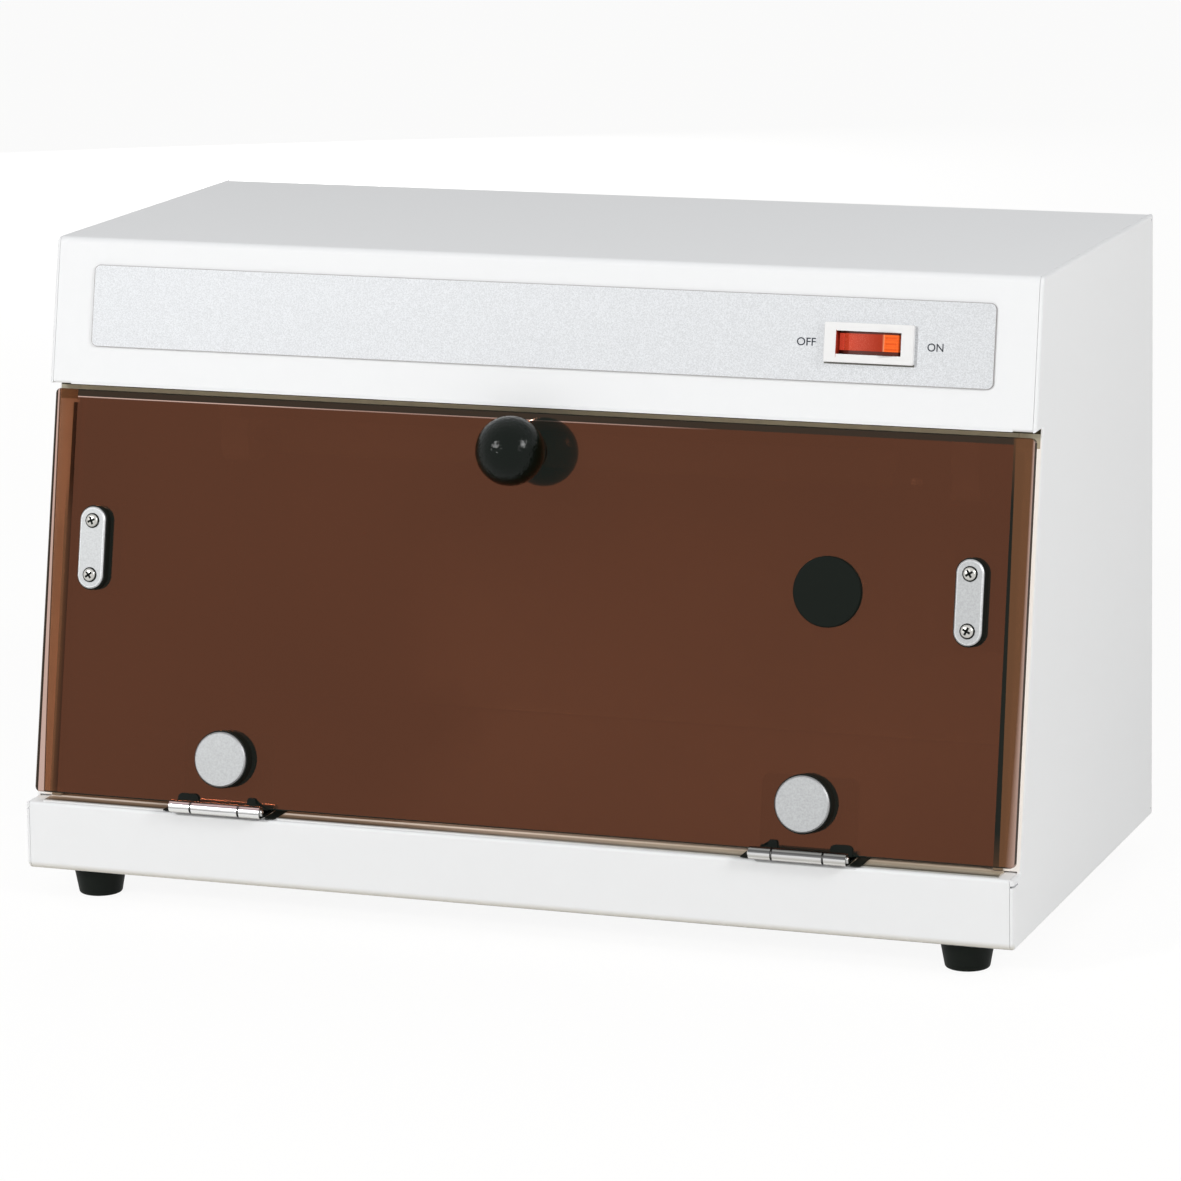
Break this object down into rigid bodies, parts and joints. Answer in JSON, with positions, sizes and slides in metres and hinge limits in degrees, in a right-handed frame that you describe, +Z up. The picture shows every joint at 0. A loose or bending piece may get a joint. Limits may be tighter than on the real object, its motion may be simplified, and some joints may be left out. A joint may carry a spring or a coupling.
{
  "type": "uv sterilizer",
  "caption": "Bench ultraviolet sterilizing cabinet with a tinted drop-down door on hinges, magnetic catches, a ceiling lamp and a sloping panel with a rocker switch.",
  "frame": {"origin": "on the bench below the middle of the bounding box", "axes": "+X to the right along the width, +Y from the door to the back, +Z up"},
  "size_m": [0.395, 0.2117, 0.253],
  "materials": {
    "paint_white": "white powder coat, semi-gloss",
    "screw_steel": "zinc-plated cross-head screws and nuts",
    "rubber_black": "matt black rubber",
    "stainless": "brushed stainless sheet",
    "reflector_sheet": "bright rolled aluminium",
    "lamp_glass": "clear quartz tube",
    "cap_metal": "satin end cap with pins",
    "holder_white": "white moulded plastic",
    "starter_can": "drawn can",
    "ballast_steel": "grey lacquered laminated core",
    "plate_silver": "silver sparkle film on sheet",
    "bezel_white": "white moulded frame",
    "plastic_black": "black moulded plastic",
    "brass_tab": "plated contact blades",
    "rocker_red": "translucent red moulding",
    "door_bronze": "dark brown tinted acrylic, polished",
    "knob_black": "polished black ball",
    "satin_metal": "satin metal with turned edges",
    "hinge_steel": "polished stainless hinge",
    "plunger_white": "white plunger"
  },
  "bodies": {
    "cabinet": {"top_cover": "paint_white", "side_panel_left": "paint_white", "side_panel_right": "paint_white", "base_pan": "paint_white", "back_panel": "paint_white", "back_screws": "screw_steel", "foot_screws": "screw_steel", "foot_nuts": "screw_steel", "hinge_screws": "screw_steel", "foot_front_left": "rubber_black", "foot_front_right": "rubber_black", "foot_rear_left": "rubber_black", "foot_rear_right": "rubber_black", "door_seal_left": "rubber_black", "door_seal_right": "rubber_black", "hinge_pads": "rubber_black", "chamber_liner": "stainless", "chamber_side_left": "stainless", "chamber_side_right": "stainless", "catch_poles": "stainless", "reflector": "reflector_sheet", "lamp_tube": "lamp_glass", "lamp_caps": "cap_metal", "lampholders": "holder_white", "starter_socket": "holder_white", "terminal_block": "holder_white", "starter": "starter_can", "ballast": "ballast_steel", "fascia_plate": "plate_silver", "switch_bezel": "bezel_white", "switch_body": "plastic_black", "catch_magnet_left": "plastic_black", "catch_magnet_right": "plastic_black", "interlock_body": "plastic_black", "inlet_shell": "plastic_black", "switch_tabs": "brass_tab", "inlet_pins": "brass_tab", "hinge_base_leaf_left": "hinge_steel", "hinge_base_leaf_right": "hinge_steel", "hinge_pins": "hinge_steel"},
    "door": {"door_panel": "door_bronze", "door_knob": "knob_black", "knob_screw": "screw_steel", "knob_washer": "screw_steel", "port_plug": "plastic_black", "catch_pads": "rubber_black", "catch_plate_left": "satin_metal", "catch_plate_right": "satin_metal", "catch_strikes": "stainless", "catch_screws": "screw_steel", "hinge_door_leaf_left": "hinge_steel", "hinge_door_leaf_right": "hinge_steel", "hinge_gasket_left": "rubber_black", "hinge_gasket_right": "rubber_black", "clamp_disc_left": "satin_metal", "clamp_disc_right": "satin_metal", "clamp_washers": "rubber_black", "clamp_nuts": "screw_steel"},
    "rocker": {"switch_rocker": "rocker_red"},
    "plunger": {"interlock_plunger": "plunger_white"}
  },
  "joints": [
    {"name": "door_hinge", "type": "hinge", "parent": "cabinet", "child": "door", "pos_m": [0, -0.10345, 0.042], "axis": [1, 0, 0], "range_deg": [0, 107]},
    {"name": "switch_rock", "type": "hinge", "parent": "cabinet", "child": "rocker", "pos_m": [0.133, -0.06132, 0.22608], "axis": [0, 0.1908, 0.9816], "range_deg": [0, 22]},
    {"name": "plunger_slide", "type": "slide", "parent": "cabinet", "child": "plunger", "axis": [0, -0.9816, 0.1908], "range_m": [0, 0.0025]}
  ],
  "couplings": [
    {"joint": "plunger_slide", "follows": "door_hinge", "m_per_rad": 0.001338}
  ]
}
